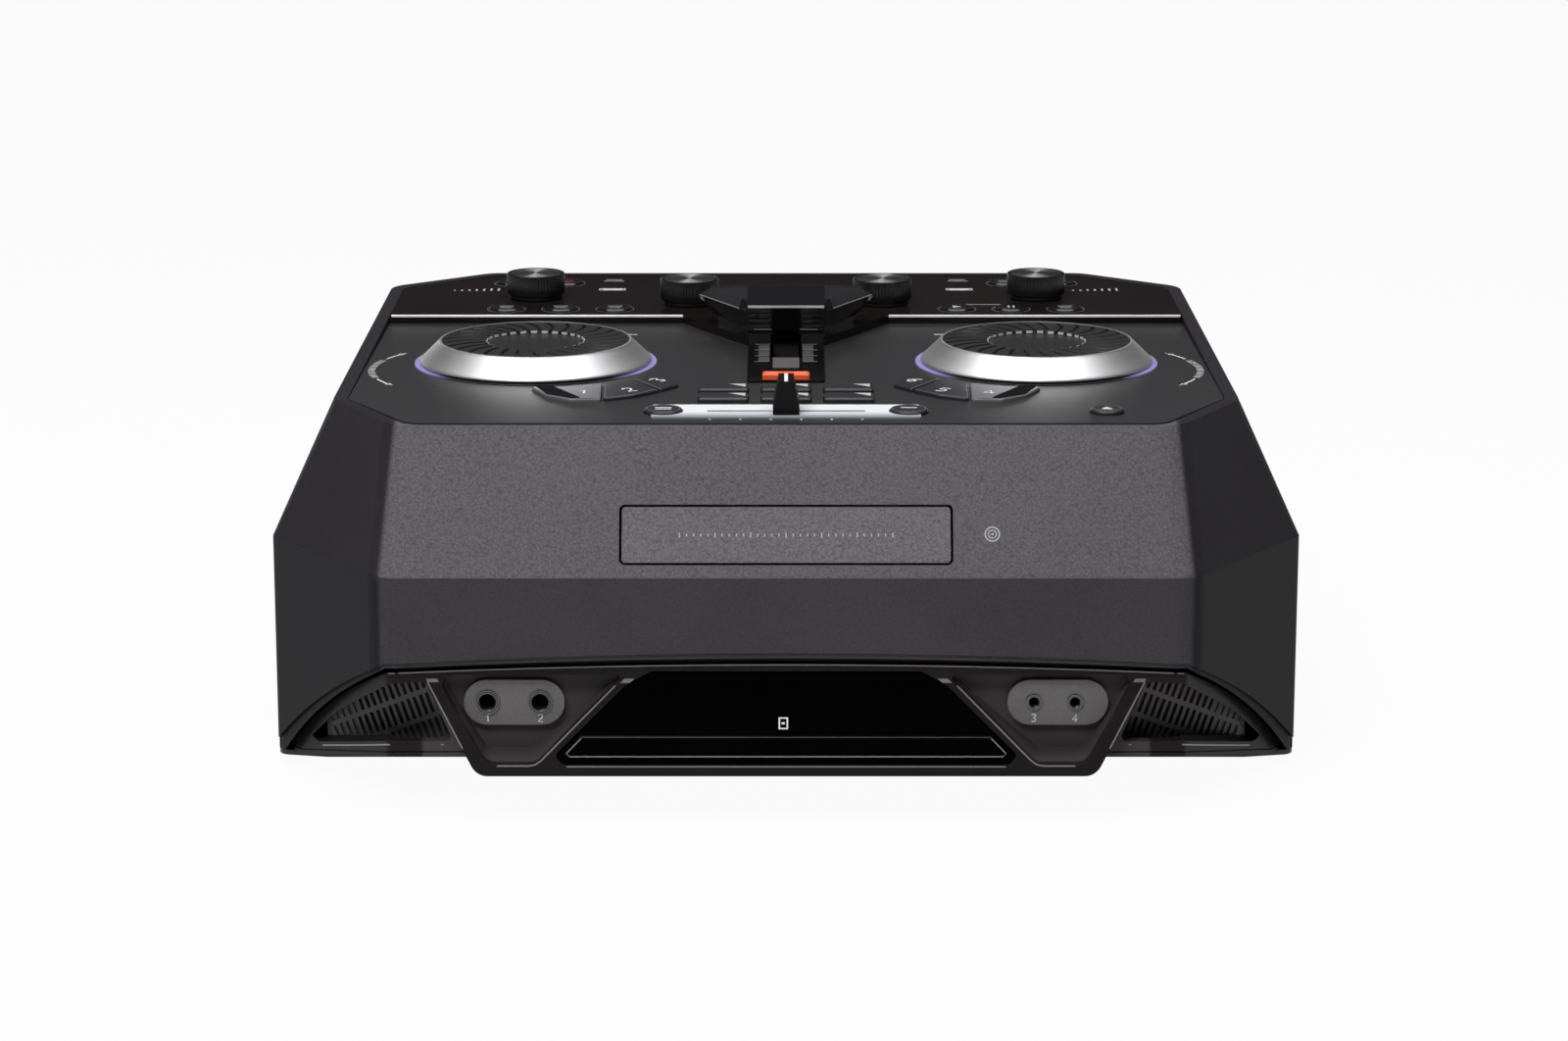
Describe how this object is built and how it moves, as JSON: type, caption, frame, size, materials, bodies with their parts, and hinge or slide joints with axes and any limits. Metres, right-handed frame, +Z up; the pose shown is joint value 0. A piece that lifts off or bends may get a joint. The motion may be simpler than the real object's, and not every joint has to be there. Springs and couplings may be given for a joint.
{
  "type": "hi-fi system with player deck",
  "caption": "Faceted hi-fi console with a disc tray in the sloping front, jog wheels, keys, pads, a fader, a lever and knobs on the deck, with jacks and a display in an arched lower front.",
  "frame": {"origin": "centre of the bounding box in plan, on the floor under the feet", "axes": "+Z up, -Y towards the front with the tray, +X to the right seen from the front"},
  "size_m": [0.45, 0.38, 0.186],
  "materials": {
    "case_plastic": "satin moulded",
    "front_plastic": "fine grained",
    "deck_plastic": "satin brushed",
    "panel_gloss": "gloss",
    "chrome_trim": "bright plated",
    "bezel_gloss": "semi gloss",
    "window_black": "clear gloss",
    "grille_black": "matt",
    "jack_grey": "satin",
    "socket_black": "satin",
    "silver": "spun satin",
    "jog_black": "satin",
    "light_violet": "translucent",
    "knob_black": "turned gloss",
    "key_dark": "satin",
    "lever_gloss": "gloss",
    "red_orange": "gloss",
    "board_green": "lacquered",
    "sheet_steel": "powder coated",
    "rubber_foot": "matt"
  },
  "bodies": {
    "cabinet": {"base_plate": "sheet_steel", "control_boards": "board_green", "control_panel": "panel_gloss", "deck_panel": "deck_plastic", "disc_loader": "case_plastic", "display_window": "window_black", "fader_plate": "silver", "feet": "rubber_foot", "front_cover": "front_plastic", "jack_plates": "jack_grey", "jacks": "socket_black", "lever_bracket": "sheet_steel", "lever_gate": "lever_gloss", "light_rings": "light_violet", "lower_bezel": "bezel_gloss", "main_board": "board_green", "rear_case": "case_plastic", "rear_panel": "sheet_steel", "sockets": "socket_black", "trim_strips": "chrome_trim", "vent_grilles": "grille_black"},
    "tray": {"tray_door": "front_plastic", "disc_tray": "case_plastic"},
    "left_jog": {"jog_rim_left": "silver", "jog_top_left": "jog_black"},
    "right_jog": {"jog_rim_right": "silver", "jog_top_right": "jog_black"},
    "lever": {"lever_handle": "lever_gloss", "lever_arm": "lever_gloss"},
    "fader": {"fader_cap": "knob_black"},
    "fader_button_left_body": {"fader_button_left": "key_dark"},
    "fader_button_right_body": {"fader_button_right": "key_dark"},
    "key_left_1_body": {"key_left_1": "key_dark"},
    "key_left_2_body": {"key_left_2": "key_dark"},
    "key_left_3_body": {"key_left_3": "key_dark"},
    "key_right_1_body": {"key_right_1": "key_dark"},
    "key_right_2_body": {"key_right_2": "key_dark"},
    "key_right_3_body": {"key_right_3": "key_dark"},
    "knob_1_body": {"knob_1": "knob_black"},
    "knob_2_body": {"knob_2": "knob_black"},
    "knob_3_body": {"knob_3": "knob_black"},
    "knob_4_body": {"knob_4": "knob_black"},
    "pad_1_body": {"pad_1": "key_dark"},
    "pad_2_body": {"pad_2": "key_dark"},
    "pad_3_body": {"pad_3": "key_dark"},
    "pad_4_body": {"pad_4": "key_dark"},
    "pad_5_body": {"pad_5": "key_dark"},
    "pad_6_body": {"pad_6": "key_dark"},
    "panel_button_1_body": {"panel_button_1": "panel_gloss"},
    "panel_button_10_body": {"panel_button_10": "panel_gloss"},
    "panel_button_2_body": {"panel_button_2": "panel_gloss"},
    "panel_button_3_body": {"panel_button_3": "panel_gloss"},
    "panel_button_4_body": {"panel_button_4": "panel_gloss"},
    "panel_button_5_body": {"panel_button_5": "panel_gloss"},
    "panel_button_6_body": {"panel_button_6": "panel_gloss"},
    "panel_button_7_body": {"panel_button_7": "panel_gloss"},
    "panel_button_8_body": {"panel_button_8": "panel_gloss"},
    "panel_button_9_body": {"panel_button_9": "panel_gloss"},
    "red_button_body": {"red_button": "red_orange"},
    "tray_button_body": {"tray_button": "key_dark"}
  },
  "joints": [
    {"name": "tray_slide", "type": "slide", "parent": "cabinet", "child": "tray", "axis": [0, -1, 0], "range_m": [0, 0.123]},
    {"name": "left_jog_turn", "type": "hinge", "parent": "cabinet", "child": "left_jog", "pos_m": [-0.1138, -0.016, 0.17], "axis": [0, 0, 1], "continuous": true},
    {"name": "right_jog_turn", "type": "hinge", "parent": "cabinet", "child": "right_jog", "pos_m": [0.1138, -0.016, 0.17], "axis": [0, 0, 1], "continuous": true},
    {"name": "lever_tilt", "type": "hinge", "parent": "cabinet", "child": "lever", "pos_m": [0, 0.008, 0.105], "axis": [1, 0, 0], "range_deg": [0, 26], "stiffness_Nm_per_rad": 0.6, "springref_deg": -14.32},
    {"name": "fader_slide", "type": "slide", "parent": "cabinet", "child": "fader", "axis": [1, 0, 0], "range_m": [-0.032, 0.032]},
    {"name": "knob_1_turn", "type": "hinge", "parent": "cabinet", "child": "knob_1_body", "pos_m": [-0.1215, 0.125, 0.17], "axis": [0, 0, 1], "range_deg": [-150, 150]},
    {"name": "knob_2_turn", "type": "hinge", "parent": "cabinet", "child": "knob_2_body", "pos_m": [-0.0465, 0.11, 0.17], "axis": [0, 0, 1], "range_deg": [-150, 150]},
    {"name": "knob_3_turn", "type": "hinge", "parent": "cabinet", "child": "knob_3_body", "pos_m": [0.1215, 0.125, 0.17], "axis": [0, 0, 1], "range_deg": [-150, 150]},
    {"name": "knob_4_turn", "type": "hinge", "parent": "cabinet", "child": "knob_4_body", "pos_m": [0.0465, 0.11, 0.17], "axis": [0, 0, 1], "range_deg": [-150, 150]},
    {"name": "fader_button_left_press", "type": "slide", "parent": "cabinet", "child": "fader_button_left_body", "axis": [0, 0, -1], "range_m": [0, 0.0012], "stiffness_N_per_m": 300, "springref_m": -0.001},
    {"name": "fader_button_right_press", "type": "slide", "parent": "cabinet", "child": "fader_button_right_body", "axis": [0, 0, -1], "range_m": [0, 0.0012], "stiffness_N_per_m": 300, "springref_m": -0.001},
    {"name": "key_left_1_press", "type": "slide", "parent": "cabinet", "child": "key_left_1_body", "axis": [0, 0, -1], "range_m": [0, 0.0012], "stiffness_N_per_m": 300, "springref_m": -0.001},
    {"name": "key_left_2_press", "type": "slide", "parent": "cabinet", "child": "key_left_2_body", "axis": [0, 0, -1], "range_m": [0, 0.0012], "stiffness_N_per_m": 300, "springref_m": -0.001},
    {"name": "key_left_3_press", "type": "slide", "parent": "cabinet", "child": "key_left_3_body", "axis": [0, 0, -1], "range_m": [0, 0.0012], "stiffness_N_per_m": 300, "springref_m": -0.001},
    {"name": "key_right_1_press", "type": "slide", "parent": "cabinet", "child": "key_right_1_body", "axis": [0, 0, -1], "range_m": [0, 0.0012], "stiffness_N_per_m": 300, "springref_m": -0.001},
    {"name": "key_right_2_press", "type": "slide", "parent": "cabinet", "child": "key_right_2_body", "axis": [0, 0, -1], "range_m": [0, 0.0012], "stiffness_N_per_m": 300, "springref_m": -0.001},
    {"name": "key_right_3_press", "type": "slide", "parent": "cabinet", "child": "key_right_3_body", "axis": [0, 0, -1], "range_m": [0, 0.0012], "stiffness_N_per_m": 300, "springref_m": -0.001},
    {"name": "pad_1_press", "type": "slide", "parent": "cabinet", "child": "pad_1_body", "axis": [0, 0, -1], "range_m": [0, 0.0012], "stiffness_N_per_m": 300, "springref_m": -0.001},
    {"name": "pad_2_press", "type": "slide", "parent": "cabinet", "child": "pad_2_body", "axis": [0, 0, -1], "range_m": [0, 0.0012], "stiffness_N_per_m": 300, "springref_m": -0.001},
    {"name": "pad_3_press", "type": "slide", "parent": "cabinet", "child": "pad_3_body", "axis": [0, 0, -1], "range_m": [0, 0.0012], "stiffness_N_per_m": 300, "springref_m": -0.001},
    {"name": "pad_4_press", "type": "slide", "parent": "cabinet", "child": "pad_4_body", "axis": [0, 0, -1], "range_m": [0, 0.0012], "stiffness_N_per_m": 300, "springref_m": -0.001},
    {"name": "pad_5_press", "type": "slide", "parent": "cabinet", "child": "pad_5_body", "axis": [0, 0, -1], "range_m": [0, 0.0012], "stiffness_N_per_m": 300, "springref_m": -0.001},
    {"name": "pad_6_press", "type": "slide", "parent": "cabinet", "child": "pad_6_body", "axis": [0, 0, -1], "range_m": [0, 0.0012], "stiffness_N_per_m": 300, "springref_m": -0.001},
    {"name": "panel_button_1_press", "type": "slide", "parent": "cabinet", "child": "panel_button_1_body", "axis": [0, 0, -1], "range_m": [0, 0.0012], "stiffness_N_per_m": 300, "springref_m": -0.001},
    {"name": "panel_button_10_press", "type": "slide", "parent": "cabinet", "child": "panel_button_10_body", "axis": [0, 0, -1], "range_m": [0, 0.0012], "stiffness_N_per_m": 300, "springref_m": -0.001},
    {"name": "panel_button_2_press", "type": "slide", "parent": "cabinet", "child": "panel_button_2_body", "axis": [0, 0, -1], "range_m": [0, 0.0012], "stiffness_N_per_m": 300, "springref_m": -0.001},
    {"name": "panel_button_3_press", "type": "slide", "parent": "cabinet", "child": "panel_button_3_body", "axis": [0, 0, -1], "range_m": [0, 0.0012], "stiffness_N_per_m": 300, "springref_m": -0.001},
    {"name": "panel_button_4_press", "type": "slide", "parent": "cabinet", "child": "panel_button_4_body", "axis": [0, 0, -1], "range_m": [0, 0.0012], "stiffness_N_per_m": 300, "springref_m": -0.001},
    {"name": "panel_button_5_press", "type": "slide", "parent": "cabinet", "child": "panel_button_5_body", "axis": [0, 0, -1], "range_m": [0, 0.0012], "stiffness_N_per_m": 300, "springref_m": -0.001},
    {"name": "panel_button_6_press", "type": "slide", "parent": "cabinet", "child": "panel_button_6_body", "axis": [0, 0, -1], "range_m": [0, 0.0012], "stiffness_N_per_m": 300, "springref_m": -0.001},
    {"name": "panel_button_7_press", "type": "slide", "parent": "cabinet", "child": "panel_button_7_body", "axis": [0, 0, -1], "range_m": [0, 0.0012], "stiffness_N_per_m": 300, "springref_m": -0.001},
    {"name": "panel_button_8_press", "type": "slide", "parent": "cabinet", "child": "panel_button_8_body", "axis": [0, 0, -1], "range_m": [0, 0.0012], "stiffness_N_per_m": 300, "springref_m": -0.001},
    {"name": "panel_button_9_press", "type": "slide", "parent": "cabinet", "child": "panel_button_9_body", "axis": [0, 0, -1], "range_m": [0, 0.0012], "stiffness_N_per_m": 300, "springref_m": -0.001},
    {"name": "red_button_press", "type": "slide", "parent": "cabinet", "child": "red_button_body", "axis": [0, 0, -1], "range_m": [0, 0.0012], "stiffness_N_per_m": 300, "springref_m": -0.001},
    {"name": "tray_button_press", "type": "slide", "parent": "cabinet", "child": "tray_button_body", "axis": [0, 0, -1], "range_m": [0, 0.0012], "stiffness_N_per_m": 300, "springref_m": -0.001}
  ]
}
